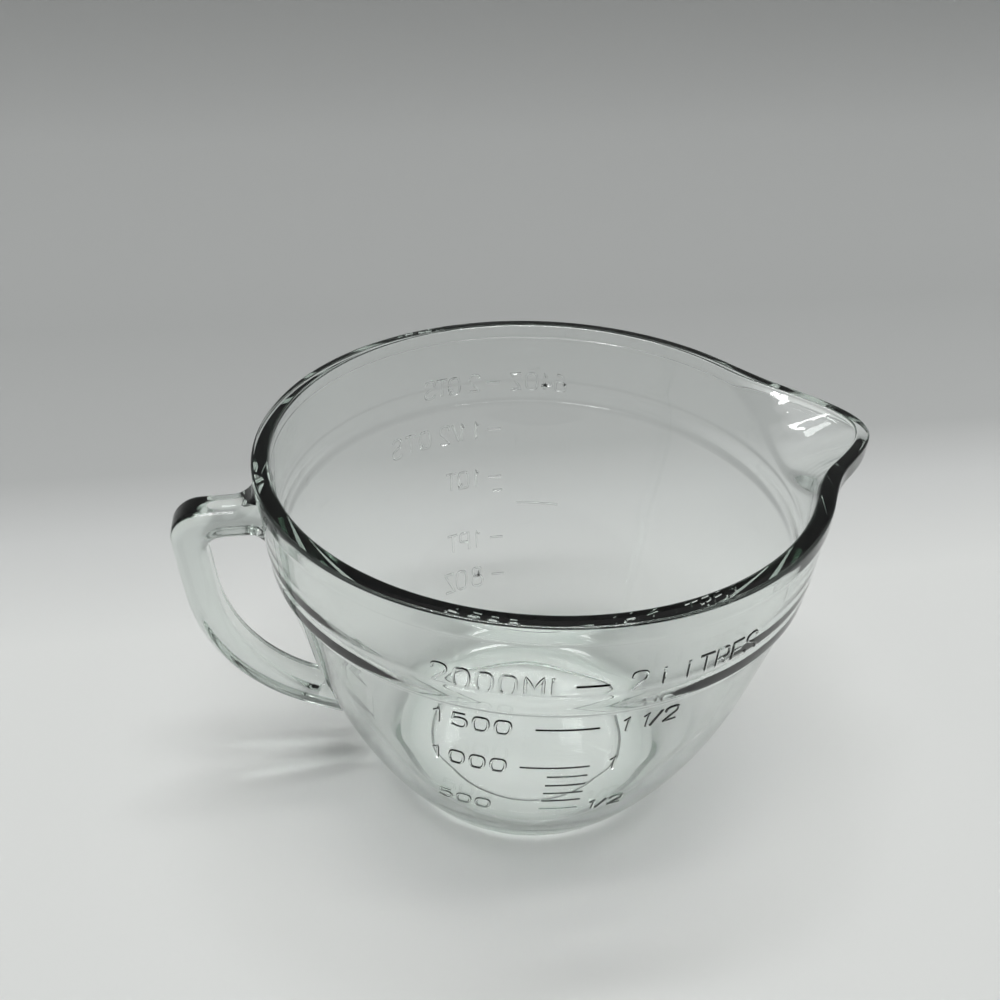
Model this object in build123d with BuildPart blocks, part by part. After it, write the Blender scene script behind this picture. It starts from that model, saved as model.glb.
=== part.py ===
from build123d import *
import os
from math import asin, cos, degrees, radians, sin, sqrt, tan

os.makedirs("parts", exist_ok=True)

# Heights are measured from the surface that the foot stands on, depths from the top of the rim and
# radii from the axis of the bowl.
# The spout points along +X, the handle along -X, and the litre scale faces -Y.

# bowl
total_height = 140.2
rim_radius = 96.2
rim_width = 5.8
rim_round = 1.0
rim_depth = 6.8
bead_proud = 0.6
wall_width = 5.0
collar_draft = 2.9  # degrees
upper_ledge_depth = 25.4
upper_ledge_drop = 1.6
upper_ledge_step = 0.55
lower_ledge_depth = 33.6
lower_ledge_drop = 3.9
lower_ledge_step = 1.9
cone_draft = 13.3  # degrees
cone_foot_height = 69.3
heel_height = 2.8
heel_angle = 34.0  # degrees
inner_blend = 90.0

# floor and foot
floor_width = 4.3
foot_height = 2.0
foot_width = 10.6
foot_edge_round = 0.8
floor_corner = 20.0

# spout
spout_half_angle = 32.0  # degrees
spout_depth = 24.8
lip_length = 21.1  # past the rim
lip_dip = 2.4
lip_bluntness = 21.9
lip_spread = 1.25
lip_width = 5.0
channel_bluntness = 17.6
channel_edge = 1.0
channel_slope = 28.4  # degrees above the level
spout_blend = 5.0
spout_steps = 7
spout_sections = 17
lip_blend = 6.0

# handle
handle_width = 14.6
handle_thickness = 10.4
handle_edge_round = 3.5
handle_depth = 16.8
handle_overhang = 29.4  # past the rim
handle_lean = 4.0  # degrees
handle_end_angle = 62.0  # degrees
handle_outer_corner = 10.4
handle_inner_corner = 6.0
handle_top_fillet = 9.0
handle_root_fillet = 5.5
handle_root_drop = 91.9  # from its top
handle_arm_run = 0.3
handle_crotch_round = 2.6
handle_shelf = 0.3
handle_end_run = 2.0

# scales
scale_relief = 0.45
stroke_width = 0.9
stroke_depth = 3.0
glyph_width = 4.6
glyph_height = 7.6
litre_facing = -90.0  # degrees from +X
quart_facing = 90.0
two_litres_depth = 22.3
litre_and_half = 96.6
one_litre = 74.6
nine_hundred = 69.1
eight_hundred = 63.5
seven_hundred = 58.0
six_hundred = 52.3
half_litre = 45.7
two_quarts_depth = 26.7
quart_and_half = 92.9
one_quart = 71.7
twenty_eight_ounces = 65.4
twenty_four_ounces = 59.2
one_pint = 44.3
eight_ounces = 28.4

two_litres = total_height - two_litres_depth
two_quarts = total_height - two_quarts_depth

# texts as (characters, distance of the first along the wall, pitch, height)
litre_labels = [
    ("2000", -47.5, 6.5, two_litres),
    ("ML", -20.8, 7.0, two_litres),
    ("2", 8.5, 6.5, two_litres),
    ("LITRES", 17.8, 5.8, two_litres),
    ("1500", -47.5, 6.5, litre_and_half),
    ("1", 8.3, 6.5, litre_and_half),
    ("1/2", 14.5, 4.0, litre_and_half),
    ("1000", -47.5, 6.5, one_litre),
    ("1", 7.5, 6.5, one_litre),
    ("500", -44.0, 6.5, half_litre),
    ("1/2", 5.3, 4.0, half_litre),
]
quart_labels = [
    ("64", -28.5, 6.0, two_quarts),
    ("OZ", -15.9, 7.0, two_quarts),
    ("2", 9.3, 6.0, two_quarts),
    ("QTS", 18.5, 5.6, two_quarts),
    ("1", 9.0, 6.0, quart_and_half),
    ("1/2", 15.5, 4.0, quart_and_half),
    ("QTS", 33.0, 7.0, quart_and_half),
    ("1", 9.5, 6.0, one_quart),
    ("QT", 15.5, 5.8, one_quart),
    ("1", 10.0, 6.0, one_pint),
    ("PT", 16.0, 5.8, one_pint),
    ("8", 10.9, 6.0, eight_ounces),
    ("OZ", 18.6, 6.0, eight_ounces),
]

# lines as (start, end, height)
litre_rules = [
    (-9.4, 0, two_litres),
    (-18.6, 0, litre_and_half),
    (-21.4, 0, one_litre),
    (-12.6, 0, nine_hundred),
    (-12.6, 0, eight_hundred),
    (-12.6, 0, seven_hundred),
    (-12.6, 0, six_hundred),
    (-12.6, 0, half_litre),
]
quart_rules = [
    (-2.0, 4.0, two_quarts),
    (-2.0, 4.0, quart_and_half),
    (-2.0, 4.0, one_quart),
    (-2.5, 2.0, twenty_eight_ounces),
    (-27.5, -8.6, twenty_four_ounces),
    (-2.0, 4.0, one_pint),
    (-2.0, 4.0, eight_ounces),
]


def normal(angle):
    """Unit vector that leans the given degrees below the level, outward."""
    return Vector(cos(radians(angle)), -sin(radians(angle)))


# corners of the outer wall, as (radius, height)
bead_foot_height = total_height - rim_depth
upper_ledge_height = total_height - upper_ledge_depth
lower_ledge_height = total_height - lower_ledge_depth
collar_top = Vector(rim_radius - bead_proud, bead_foot_height)
collar_foot = Vector(
    collar_top.X - (collar_top.Y - upper_ledge_height) * tan(radians(collar_draft)),
    upper_ledge_height,
)
band_top = Vector(collar_foot.X - upper_ledge_step, upper_ledge_height - upper_ledge_drop)
band_foot = Vector(
    band_top.X - (band_top.Y - lower_ledge_height) * tan(radians(collar_draft)),
    lower_ledge_height,
)
cone_top = Vector(band_foot.X - lower_ledge_step, lower_ledge_height - lower_ledge_drop)
cone_foot = Vector(
    cone_top.X - (cone_top.Y - cone_foot_height) * tan(radians(cone_draft)), cone_foot_height
)
curve_radius = (cone_foot_height - heel_height) / (sin(radians(heel_angle)) - sin(radians(cone_draft)))
curve_centre = cone_foot - normal(cone_draft) * curve_radius
curve_foot = curve_centre + normal(heel_angle) * curve_radius
heel_radius = curve_foot.Y / (1 - sin(radians(heel_angle)))
heel_centre = curve_foot - normal(heel_angle) * heel_radius
foot_inner_radius = heel_centre.X - foot_width

# corners of the inner wall
floor_top = foot_height + floor_width
inner_curve_radius = curve_radius - wall_width
corner_centre_height = floor_top + floor_corner
corner_centre = Vector(
    curve_centre.X
    + sqrt((inner_curve_radius - floor_corner) ** 2 - (curve_centre.Y - corner_centre_height) ** 2),
    corner_centre_height,
)
corner_angle = degrees(
    asin((curve_centre.Y - corner_centre.Y) / (inner_curve_radius - floor_corner))
)
inner_rim = Vector(rim_radius - rim_width, total_height - rim_round)
inner_cone_foot = cone_foot - normal(cone_draft) * wall_width
inner_meet_height = (
    inner_rim.X
    - inner_rim.Y * tan(radians(collar_draft))
    - inner_cone_foot.X
    + inner_cone_foot.Y * tan(radians(cone_draft))
) / (tan(radians(cone_draft)) - tan(radians(collar_draft)))


def inner_collar(height):
    """Radius of the inner wall above the cone."""
    return inner_rim.X - (inner_rim.Y - height) * tan(radians(collar_draft))


def outer_collar(height):
    """Radius of the outer wall above the upper ledge."""
    return collar_top.X - (collar_top.Y - height) * tan(radians(collar_draft))


def heel_point(height):
    """Point of the heel at a height below the curve."""
    sink = (heel_centre.Y - height) / heel_radius
    return Vector(heel_centre.X + heel_radius * sqrt(1 - sink * sink), height)


def outer_radius(height):
    """Radius of the outer wall at a height."""
    if height >= upper_ledge_height:
        return outer_collar(height)
    if height >= lower_ledge_height:
        return band_top.X - (band_top.Y - height) * tan(radians(collar_draft))
    if height >= cone_foot_height:
        return cone_foot.X + (height - cone_foot_height) * tan(radians(cone_draft))
    drop = (curve_centre.Y - height) / curve_radius
    return curve_centre.X + curve_radius * sqrt(1 - drop * drop)


def outer_wall_lines(grow=0.0):
    """Outer outline from the bead down to the heel, moved outward by grow."""
    out = Vector(grow, 0)
    Polyline(collar_top + out, collar_foot + out, band_top + out, band_foot + out)
    shoulder = Line(band_foot + out, cone_top + out)
    Line(shoulder @ 1, cone_foot + out)
    mid = curve_centre + normal((cone_draft + heel_angle) / 2) * curve_radius + out
    ThreePointArc(cone_foot + out, mid, curve_foot + out)


# wall of the bowl, between the rim bead and the foot ring, open for the spout
spout_seat = total_height - spout_depth
inner_meet = Vector(inner_collar(inner_meet_height), inner_meet_height)
cone_up = Vector(sin(radians(cone_draft)), cos(radians(cone_draft)))
collar_up = Vector(sin(radians(collar_draft)), cos(radians(collar_draft)))
blend_run = inner_blend * tan(radians((cone_draft - collar_draft) / 2))
inner_mid = curve_centre + normal((cone_draft + corner_angle) / 2) * inner_curve_radius
inner_curve_foot = curve_centre + normal(corner_angle) * inner_curve_radius
corner_mid = corner_centre + normal((corner_angle + 90) / 2) * floor_corner

with BuildPart() as bowl_wall:
    with BuildSketch(Plane.XZ):
        with BuildLine():
            outer_wall_lines()
            heel_top_mid = heel_point((curve_foot.Y + foot_height) / 2)
            ThreePointArc(curve_foot, heel_top_mid, heel_point(foot_height))
            Polyline(
                heel_point(foot_height),
                (foot_inner_radius, foot_height),
                (foot_inner_radius, floor_top),
                (corner_centre.X, floor_top),
            )
            ThreePointArc((corner_centre.X, floor_top), corner_mid, inner_curve_foot)
            ThreePointArc(inner_curve_foot, inner_mid, inner_cone_foot)
            rise = Line(inner_cone_foot, inner_meet - cone_up * blend_run)
            turn = TangentArc(rise @ 1, inner_meet + collar_up * blend_run, tangent=rise % 1)
            Polyline(turn @ 1, (inner_collar(bead_foot_height), bead_foot_height), collar_top)
        make_face()
    revolve(axis=Axis.Z)
    with BuildSketch(Plane.XY.offset(spout_seat)):
        with BuildLine():
            far = 2 * rim_radius
            edge_x = far * cos(radians(spout_half_angle))
            edge_y = far * sin(radians(spout_half_angle))
            Polyline((0, 0), (edge_x, -edge_y), (edge_x, edge_y), close=True)
        make_face()
    extrude(amount=total_height - spout_seat, mode=Mode.SUBTRACT)

# floor disc, recessed under the foot ring
with BuildPart() as bowl_floor:
    with BuildSketch(Plane.XY.offset(foot_height)):
        Circle(foot_inner_radius)
    extrude(amount=floor_width)

# foot ring
with BuildPart() as foot_ring:
    with BuildSketch(Plane.XZ):
        with BuildLine():
            ThreePointArc(heel_point(foot_height), heel_point(foot_height / 3), (heel_centre.X, 0))
            Polyline(
                (heel_centre.X, 0),
                (foot_inner_radius, 0),
                (foot_inner_radius, foot_height),
                heel_point(foot_height),
            )
        make_face()
    revolve(axis=Axis.Z)
    inner_edge = foot_ring.edges().group_by(Axis.Z)[0].sort_by(SortBy.RADIUS)[0]
    fillet(inner_edge, foot_edge_round)

# rim bead, flat on top with rounded edges, open for the spout
with BuildPart() as rim_bead:
    with BuildSketch(Plane.XZ):
        with BuildLine():
            side = Line((rim_radius, bead_foot_height), (rim_radius, total_height - rim_round))
            outer_round = TangentArc(side @ 1, (rim_radius - rim_round, total_height), tangent=side % 1)
            top = Line(outer_round @ 1, (inner_rim.X + rim_round, total_height))
            inner_round = TangentArc(top @ 1, inner_rim, tangent=top % 1)
            Polyline(
                inner_round @ 1,
                (inner_collar(bead_foot_height), bead_foot_height),
                (rim_radius, bead_foot_height),
            )
        make_face()
    revolve(axis=Axis.Z)
    with BuildSketch(Plane.XY.offset(bead_foot_height)):
        with BuildLine():
            Polyline((0, 0), (edge_x, -edge_y), (edge_x, edge_y), close=True)
        make_face()
    extrude(amount=rim_depth, mode=Mode.SUBTRACT)


# pouring spout: a V with a rounded nose, drawn out of the wall along a sloping channel
def nose(angle, reach, bluntness):
    """Radius at which the ray at an angle meets the V with its nose at reach."""
    root = reach + bluntness
    across = cos(radians(angle))
    along = lip_spread * sin(radians(angle))
    share = across * across - along * along
    inside = (root * across) ** 2 - share * (root * root - bluntness * bluntness)
    return (root * across - sqrt(inside)) / share


def blend(one, other, width):
    """The larger of two radii, with the crease between them rounded over a width."""
    gap = max(width - abs(one - other), 0)
    return max(one, other) + gap * gap / (4 * width)


run_per_rise = 1 / tan(radians(channel_slope))
lip_reach = rim_radius + lip_length
channel_reach = lip_reach - lip_width


def spout_section(angle):
    """Closed outline of the spout in the upright plane through the axis at an angle."""
    lip = blend(rim_radius, nose(angle, lip_reach, lip_bluntness), lip_blend)
    share = (lip - rim_radius) / lip_length
    crest = total_height - lip_dip * share
    edge_round = rim_round - (rim_round - channel_edge) * share
    bead_foot = crest - rim_depth
    channel_top = crest - edge_round
    outer = []
    inner = []
    for step in range(spout_steps + 1):
        height = spout_seat + (bead_foot - spout_seat) * step / spout_steps
        reach = lip_reach - bead_proud - run_per_rise * (bead_foot - height)
        wall = outer_collar(height) + (collar_top.X - outer_collar(bead_foot)) * step / spout_steps
        outer.append((blend(wall, nose(angle, reach, lip_bluntness), lip_blend), height))
        height = spout_seat + (channel_top - spout_seat) * step / spout_steps
        reach = channel_reach - run_per_rise * (channel_top - height)
        wall = inner_collar(height)
        inner.append((blend(wall, nose(angle, reach, channel_bluntness), spout_blend), height))
    outer_lines = Spline(*outer)
    side = Polyline(outer_lines @ 1, (lip, bead_foot), (lip, crest - rim_round))
    outer_round = TangentArc(side @ 1, (lip - rim_round, crest), tangent=(0, 1))
    top = Line(outer_round @ 1, (inner[-1][0] + edge_round, crest))
    TangentArc(top @ 1, inner[-1], tangent=top % 1)
    Spline(*reversed(inner))
    Line(inner[0], outer[0])


with BuildPart() as pour_spout:
    for index in range(spout_sections):
        angle = spout_half_angle * (2 * index / (spout_sections - 1) - 1)
        ray = Vector(cos(radians(angle)), sin(radians(angle)))
        upright = Plane(origin=(0, 0, 0), x_dir=ray, z_dir=(ray.Y, -ray.X, 0))
        with BuildSketch(upright):
            with BuildLine():
                spout_section(angle)
            make_face()
    loft()


# loop handle: a level upper arm, a drop that leans in, and an arm that curves back to the wall
def cross(one, other):
    """Size of the turn from one direction to another."""
    return one.X * other.Y - one.Y * other.X


def meet(start, direction, other_start, other_direction):
    """Point where two straight lines cross."""
    reach = cross(other_start - start, other_direction) / cross(direction, other_direction)
    return start + direction * reach


half_thickness = handle_thickness / 2
handle_top = total_height - handle_depth
handle_root_height = handle_top - handle_root_drop
upper_depth = rim_radius - 2 * rim_width
lower_depth = foot_inner_radius + 2 * rim_width
drop_down = Vector(-sin(radians(handle_lean)), -cos(radians(handle_lean)))
drop_out = normal(handle_lean)
arm_down = Vector(-sin(radians(handle_end_angle)), -cos(radians(handle_end_angle)))
arm_out = normal(handle_end_angle)

# level upper arm, from its fillets on the wall to the two sides of the elbow
under_arm = handle_top - handle_thickness
over_wall = outer_collar(handle_top + handle_top_fillet) + handle_shelf
under_wall = outer_radius(under_arm) + handle_shelf
outer_elbow = Vector(rim_radius + handle_overhang, handle_top)
inner_drop = outer_elbow - drop_out * handle_thickness
inner_elbow = meet(inner_drop, drop_down, Vector(0, under_arm), Vector(1, 0))

# root of the lower arm on the curved part of the wall
root_angle = degrees(asin((curve_centre.Y - handle_root_height) / curve_radius))
root_wall = curve_centre + normal(root_angle) * (curve_radius + handle_shelf)
root_up = Vector(sin(radians(root_angle)), cos(radians(root_angle)))
root_turn = handle_end_angle - root_angle
outer_root = meet(root_wall + arm_out * half_thickness, arm_down, root_wall, root_up)
inner_root = meet(root_wall - arm_out * half_thickness, arm_down, root_wall, root_up)
outer_run = handle_shelf + handle_root_fillet * tan(radians(root_turn / 2))
crotch_run = handle_crotch_round / tan(radians(root_turn / 2))
outer_end = outer_root - root_up * outer_run
inner_end = inner_root + root_up * (handle_end_run + crotch_run)

# bend between the drop and the lower arm, as large as they leave room for
outer_bend = meet(outer_elbow, drop_down, outer_root, arm_down)
inner_bend = meet(inner_drop, drop_down, inner_root, arm_down)
bend_run = (inner_bend - inner_root).length - crotch_run - handle_arm_run
inner_bend_radius = bend_run / tan(radians((handle_end_angle - handle_lean) / 2))

over_end = Vector(over_wall, handle_top + handle_top_fillet + handle_shelf)
under_end = Vector(under_wall, under_arm - handle_root_fillet - handle_end_run)
outer_corners = [over_end, Vector(over_wall, handle_top), outer_elbow, outer_bend, outer_root, outer_end]
outer_rounds = [
    handle_top_fillet,
    handle_outer_corner,
    inner_bend_radius + handle_thickness,
    handle_root_fillet,
]
inner_corners = [inner_end, inner_root, inner_bend, inner_elbow, Vector(under_wall, under_arm), under_end]
inner_rounds = [
    handle_crotch_round,
    inner_bend_radius,
    handle_inner_corner,
    handle_root_fillet,
]


def clear_of_depths(edge):
    """Whether an edge of the handle ends away from the closing lines inside the wall."""
    depths = [round(vertex.X, 3) for vertex in edge.vertices()]
    return round(-upper_depth, 3) not in depths and round(-lower_depth, 3) not in depths


with BuildPart() as handle:
    with BuildSketch(Plane.XZ.rotated((0, 0, 180))):
        with BuildLine():
            FilletPolyline(*outer_corners, radius=outer_rounds)
            Polyline(outer_end, (lower_depth, outer_end.Y), (lower_depth, inner_end.Y), inner_end)
            FilletPolyline(*inner_corners, radius=inner_rounds)
            Polyline(under_end, (upper_depth, under_end.Y), (upper_depth, over_end.Y), over_end)
        make_face()
    extrude(amount=handle_width / 2, both=True)
    rounded = handle.faces().filter_by(Axis.Y).edges().filter_by(clear_of_depths)
    fillet(rounded, handle_edge_round)
    with BuildSketch(Plane.XZ):
        with BuildLine():
            outer_wall_lines()
            Polyline(curve_foot, (0, curve_foot.Y), (0, collar_top.Y), collar_top)
        make_face()
    revolve(axis=Axis.Z, mode=Mode.SUBTRACT)


# scales: raised strokes on the wall, given on a unit cell and set out along it
strokes = {
    "0": [[(0.5, 1), (0.1, 0.82), (0.1, 0.18), (0.5, 0), (0.9, 0.18), (0.9, 0.82), (0.5, 1)]],
    "1": [[(0.2, 0.78), (0.55, 1), (0.55, 0)]],
    "2": [[(0.08, 0.8), (0.5, 1), (0.92, 0.78), (0.85, 0.55), (0.08, 0), (0.95, 0)]],
    "4": [[(0.95, 0.3), (0, 0.3), (0.72, 1), (0.72, 0)]],
    "5": [[(0.9, 1), (0.15, 1), (0.1, 0.58), (0.6, 0.62), (0.92, 0.32), (0.6, 0), (0.08, 0.1)]],
    "6": [
        [(0.8, 0.95), (0.4, 0.9), (0.1, 0.45), (0.3, 0), (0.75, 0), (0.92, 0.3), (0.6, 0.56), (0.12, 0.42)]
    ],
    "8": [
        [(0.5, 0.54), (0.12, 0.76), (0.5, 1), (0.88, 0.76), (0.1, 0.25), (0.5, 0), (0.9, 0.25), (0.5, 0.54)]
    ],
    "/": [[(0, 0), (0.6, 1)]],
    "E": [[(0.9, 1), (0.1, 1), (0.1, 0), (0.9, 0)], [(0.1, 0.52), (0.75, 0.52)]],
    "I": [[(0.5, 0), (0.5, 1)]],
    "L": [[(0.1, 1), (0.1, 0), (0.9, 0)]],
    "M": [[(0, 0), (0, 1), (0.5, 0.35), (1, 1), (1, 0)]],
    "O": [[(0.5, 1), (0, 0.8), (0, 0.2), (0.5, 0), (1, 0.2), (1, 0.8), (0.5, 1)]],
    "P": [[(0.1, 0), (0.1, 1), (0.7, 1), (0.95, 0.76), (0.7, 0.5), (0.1, 0.5)]],
    "Q": [[(0.5, 1), (0, 0.8), (0, 0.2), (0.5, 0), (1, 0.2), (1, 0.8), (0.5, 1)], [(0.6, 0.3), (1, -0.05)]],
    "R": [[(0.1, 0), (0.1, 1), (0.7, 1), (0.92, 0.76), (0.7, 0.5), (0.1, 0.5)], [(0.5, 0.5), (0.95, 0)]],
    "S": [[(0.9, 0.85), (0.5, 1), (0.1, 0.78), (0.9, 0.25), (0.5, 0), (0.08, 0.15)]],
    "T": [[(0.5, 0), (0.5, 1)], [(0, 1), (1, 1)]],
    "Z": [[(0.05, 1), (0.95, 1), (0.05, 0), (0.95, 0)]],
}


def wall_plane(facing, along, height):
    """Upright plane that touches the wall, a distance along it from the middle of a scale."""
    radius = outer_radius(height)
    turn = radians(facing) + along / radius
    out = Vector(cos(turn), sin(turn))
    return Plane(origin=(radius * out.X, radius * out.Y, height), x_dir=(-out.Y, out.X, 0), z_dir=out)


def write(facing, text, start, pitch, height):
    """Raised characters, the first one centred at start, on a line at a height."""
    for index, character in enumerate(text):
        for stroke in strokes.get(character, []):
            corners = [
                ((x - 0.5) * glyph_width, (y - 0.5) * glyph_height) for x, y in stroke
            ]
            with BuildSketch(wall_plane(facing, start + index * pitch, height)) as drawn:
                with BuildLine():
                    Polyline(*corners)
                trace(line_width=stroke_width)
            extrude(drawn.sketch, amount=stroke_depth, both=True)


def rule(facing, start, end, height):
    """Raised level line between two distances along the wall."""
    with BuildSketch(wall_plane(facing, (start + end) / 2, height)) as drawn:
        Rectangle(end - start, stroke_width)
    extrude(drawn.sketch, amount=stroke_depth, both=True)


def keep_on_wall():
    """Cuts the strokes that were drawn down to a skin on the outer wall."""
    out = Vector(scale_relief, 0)
    with BuildSketch(Plane.XZ) as skin:
        with BuildLine():
            outer_wall_lines(scale_relief)
            Line(curve_foot + out, curve_foot)
            Line(collar_top, collar_top + out)
            outer_wall_lines()
        make_face()
    revolve(skin.sketch, axis=Axis.Z, mode=Mode.INTERSECT)


with BuildPart() as litre_scale:
    for text, start, pitch, height in litre_labels:
        write(litre_facing, text, start, pitch, height)
    for start, end, height in litre_rules:
        rule(litre_facing, start, end, height)
    keep_on_wall()

with BuildPart() as quart_scale:
    for text, start, pitch, height in quart_labels:
        write(quart_facing, text, start, pitch, height)
    for start, end, height in quart_rules:
        rule(quart_facing, start, end, height)
    keep_on_wall()

bowl_wall.part.label = "bowl_wall"
export_step(bowl_wall.part, "parts/bowl_wall.step")
bowl_floor.part.label = "bowl_floor"
export_step(bowl_floor.part, "parts/bowl_floor.step")
foot_ring.part.label = "foot_ring"
export_step(foot_ring.part, "parts/foot_ring.step")
rim_bead.part.label = "rim_bead"
export_step(rim_bead.part, "parts/rim_bead.step")
pour_spout.part.label = "pour_spout"
export_step(pour_spout.part, "parts/pour_spout.step")
handle.part.label = "handle"
export_step(handle.part, "parts/handle.step")
litre_scale.part.label = "litre_scale"
export_step(litre_scale.part, "parts/litre_scale.step")
quart_scale.part.label = "quart_scale"
export_step(quart_scale.part, "parts/quart_scale.step")
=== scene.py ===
import bmesh
import bpy
import math
from mathutils import Euler, Matrix, Vector


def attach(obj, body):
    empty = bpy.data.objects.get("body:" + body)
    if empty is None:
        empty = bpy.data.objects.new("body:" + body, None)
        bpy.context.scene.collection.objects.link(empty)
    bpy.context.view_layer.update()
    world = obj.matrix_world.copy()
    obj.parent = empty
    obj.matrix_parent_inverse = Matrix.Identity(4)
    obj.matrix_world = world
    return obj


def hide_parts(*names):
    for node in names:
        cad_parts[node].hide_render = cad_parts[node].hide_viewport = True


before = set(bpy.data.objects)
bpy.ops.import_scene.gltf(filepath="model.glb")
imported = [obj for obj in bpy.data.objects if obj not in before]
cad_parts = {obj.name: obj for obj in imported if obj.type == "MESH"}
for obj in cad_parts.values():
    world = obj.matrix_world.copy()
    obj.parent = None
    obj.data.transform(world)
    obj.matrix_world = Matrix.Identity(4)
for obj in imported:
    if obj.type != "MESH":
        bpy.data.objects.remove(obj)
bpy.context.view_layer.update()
mm = 0.001

bowlSize = {  # millimetres and degrees, heights from the table, radii from the axis of the bowl
    "height": 140.2,
    "rimRadius": 96.2,  # outside
    "rimWidth": 5.8,
    "rimRound": 1.0,
    "rimDepth": 6.8,
    "beadProud": 0.6,  # of the rim bead over the collar
    "beadCorner": 0.3,
    "wall": 5.0,
    "collarDraft": 2.9,
    "upperLedge": (114.8, 1.6, 0.55),  # height, drop, step
    "lowerLedge": (106.6, 3.9, 1.9),
    "coneDraft": 13.3,
    "coneFoot": 69.3,  # height at which the cone gives way to the curve
    "curveRadius": 202.0,
    "heelAngle": 34.0,  # how far the wall leans where the curve gives way to the foot
    "innerBlend": 90.0,  # radius between collar and cone on the inside
    "floor": 4.3,
    "footHeight": 2.0,
    "footInner": 39.0,  # radius of the recess under the floor
    "footRound": 0.8,
    "recessRound": 1.2,
    "floorCorner": 20.0,
    "turns": 360,  # steps of the spin
    "smoothAngle": 34.0,  # edges sharper than this stay crisp
}
outlineSteps = {  # how finely each run of the outline is drawn
    "underside": 6,
    "recessRound": 4,
    "footRound": 4,
    "foot": 4,
    "heel": 10,
    "curve": 22,
    "cone": 9,
    "lowerLedge": 6,
    "band": 3,
    "upperLedge": 4,
    "collar": 14,
    "beadCorner": 3,
    "bead": 4,
    "rimRound": 8,
    "rimTop": 2,
    "innerCollar": 14,
    "innerBlend": 8,
    "innerCone": 8,
    "innerCurve": 20,
    "floorCorner": 10,
    "floor": 6,
}
hair = 0.01  # millimetres, less than any step of the outline


def tangent(angle):
    return math.tan(math.radians(angle))


def outward(angle):  # unit vector that leans the given degrees below the level
    return Vector((math.cos(math.radians(angle)), -math.sin(math.radians(angle))))


def alongWall(angle):  # unit vector up the wall whose outward direction has that angle
    return Vector((math.sin(math.radians(angle)), math.cos(math.radians(angle))))


def arc(centre, radius, start, end, steps):  # points after the first one
    angles = [start + (end - start) * step / steps for step in range(1, steps + 1)]
    return [centre + outward(angle) * radius for angle in angles]


def straight(start, end, steps):  # points after the first one
    return [start.lerp(end, step / steps) for step in range(1, steps + 1)]


def softStep(start, end, steps):  # an S from one point to another, both ends running along the wall
    points = []
    for step in range(1, steps + 1):
        share = step / steps
        swing = share * share * (3 - 2 * share)
        across = start.x + (end.x - start.x) * swing
        points.append(Vector((across, start.y + (end.y - start.y) * share)))
    return points


# corners of the outer and the inner wall, as (radius, height)
b = bowlSize
coneSlope = tangent(b["coneDraft"])
collarSlope = tangent(b["collarDraft"])
beadFoot = b["height"] - b["rimDepth"]
collarTop = Vector((b["rimRadius"] - b["beadProud"], beadFoot))
upperHeight, upperDrop, upperStep = b["upperLedge"]
lowerHeight, lowerDrop, lowerStep = b["lowerLedge"]
collarFoot = Vector((collarTop.x - (collarTop.y - upperHeight) * collarSlope, upperHeight))
bandTop = Vector((collarFoot.x - upperStep, upperHeight - upperDrop))
bandFoot = Vector((bandTop.x - (bandTop.y - lowerHeight) * collarSlope, lowerHeight))
coneTop = Vector((bandFoot.x - lowerStep, lowerHeight - lowerDrop))
coneFoot = Vector((coneTop.x - (coneTop.y - b["coneFoot"]) * coneSlope, b["coneFoot"]))
curveCentre = coneFoot - outward(b["coneDraft"]) * b["curveRadius"]
curveFoot = curveCentre + outward(b["heelAngle"]) * b["curveRadius"]
heelRadius = curveFoot.y / (1 - math.sin(math.radians(b["heelAngle"])))
heelCentre = curveFoot - outward(b["heelAngle"]) * heelRadius
floorTop = b["footHeight"] + b["floor"]
innerRadius = b["curveRadius"] - b["wall"]
cornerDrop = curveCentre.y - floorTop - b["floorCorner"]
cornerRun = math.sqrt((innerRadius - b["floorCorner"]) ** 2 - cornerDrop ** 2)
cornerCentre = Vector((curveCentre.x + cornerRun, floorTop + b["floorCorner"]))
cornerAngle = math.degrees(math.asin(cornerDrop / (innerRadius - b["floorCorner"])))
innerRim = Vector((b["rimRadius"] - b["rimWidth"], b["height"] - b["rimRound"]))
innerConeFoot = coneFoot - outward(b["coneDraft"]) * b["wall"]
meetHeight = (
    innerRim.x - innerRim.y * collarSlope - innerConeFoot.x + innerConeFoot.y * coneSlope
) / (coneSlope - collarSlope)
innerMeet = Vector((innerRim.x - (innerRim.y - meetHeight) * collarSlope, meetHeight))
blendRun = b["innerBlend"] * tangent((b["coneDraft"] - b["collarDraft"]) / 2)


def outerCollar(height):
    return collarTop.x - (collarTop.y - height) * collarSlope


def outerRadius(height):  # outer wall from the bead down to the heel
    if height >= upperHeight:
        return outerCollar(height)
    if height >= lowerHeight:
        return bandTop.x - (bandTop.y - height) * collarSlope
    if height >= b["coneFoot"]:
        return coneFoot.x + (height - b["coneFoot"]) * coneSlope
    drop = (curveCentre.y - height) / b["curveRadius"]
    return curveCentre.x + b["curveRadius"] * math.sqrt(1 - drop * drop)


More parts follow.
